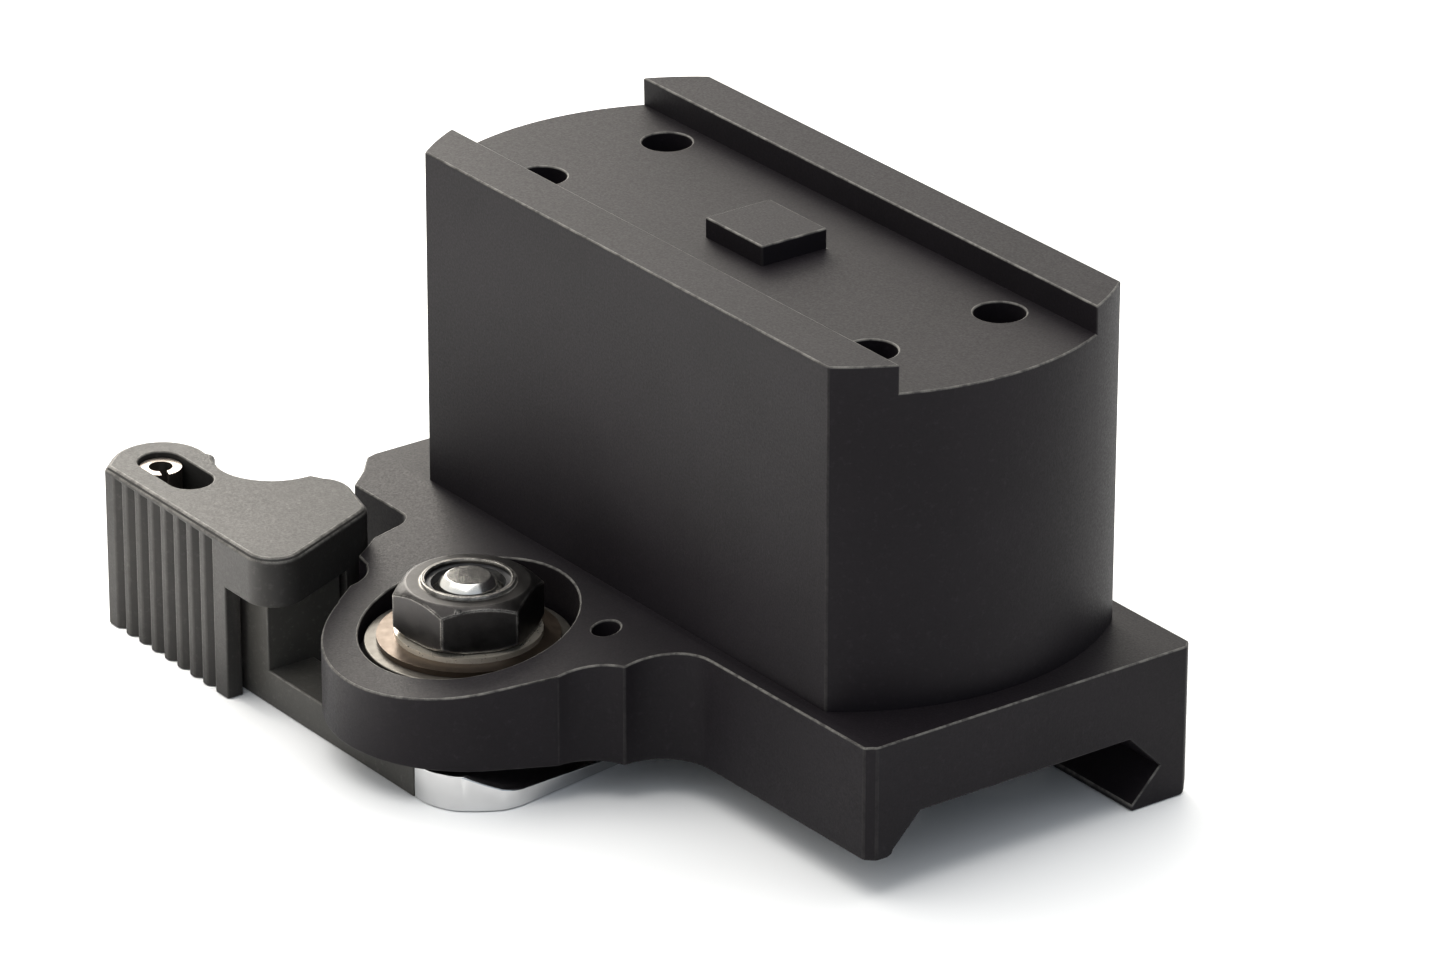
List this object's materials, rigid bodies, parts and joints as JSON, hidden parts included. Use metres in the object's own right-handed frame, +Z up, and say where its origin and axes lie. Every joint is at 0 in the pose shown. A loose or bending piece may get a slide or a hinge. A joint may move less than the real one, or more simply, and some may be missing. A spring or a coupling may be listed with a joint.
{
  "type": "quick-detach riser mount",
  "caption": "Riser mount for a compact reflex sight that clamps on an accessory rail with a throw lever, cam foot and sliding thumb latch.",
  "frame": {"origin": "centre of the face that rests on the rail", "axes": "+X along the rail, away from the handle's end; +Y towards the fixed jaw; +Z up towards the sight"},
  "size_m": [0.0632, 0.0422, 0.0335],
  "materials": {
    "body_anodised": "matte black hard anodised",
    "arm_black": "matte black oxide",
    "foot_steel": "polished stainless",
    "stud_steel": "bright turned",
    "washer_bronze": "plain",
    "washer_steel": "plain",
    "washer_gold": "yellow passivated",
    "nut_black": "black oxide, bright where worn",
    "insert_nylon": "nylon",
    "pin_steel": "bright",
    "latch_anodised": "matte black hard anodised",
    "spring_steel": "drawn wire"
  },
  "bodies": {
    "mount": {"mount_body": "body_anodised", "flat_washer": "washer_steel", "stop_pin": "pin_steel"},
    "lever": {"lever_arm": "arm_black", "cam_foot": "foot_steel", "clamp_stud": "stud_steel", "thrust_washer": "washer_bronze", "spring_washer_lower": "washer_gold", "spring_washer_upper": "washer_gold", "lock_nut": "nut_black", "nut_insert": "insert_nylon", "latch_pin": "pin_steel", "latch_spring": "spring_steel"},
    "latch": {"thumb_latch": "latch_anodised"}
  },
  "joints": [
    {"name": "lever_swing", "type": "hinge", "parent": "mount", "child": "lever", "pos_m": [-0.0051, -0.0196, 0], "axis": [0, 0, 1], "range_deg": [0, 85]},
    {"name": "latch_slide", "type": "slide", "parent": "lever", "child": "latch", "axis": [-1, 0, 0], "range_m": [0, 0.0025], "stiffness_N_per_m": 400, "springref_m": -0.003, "deforming": ["latch_spring"]}
  ]
}
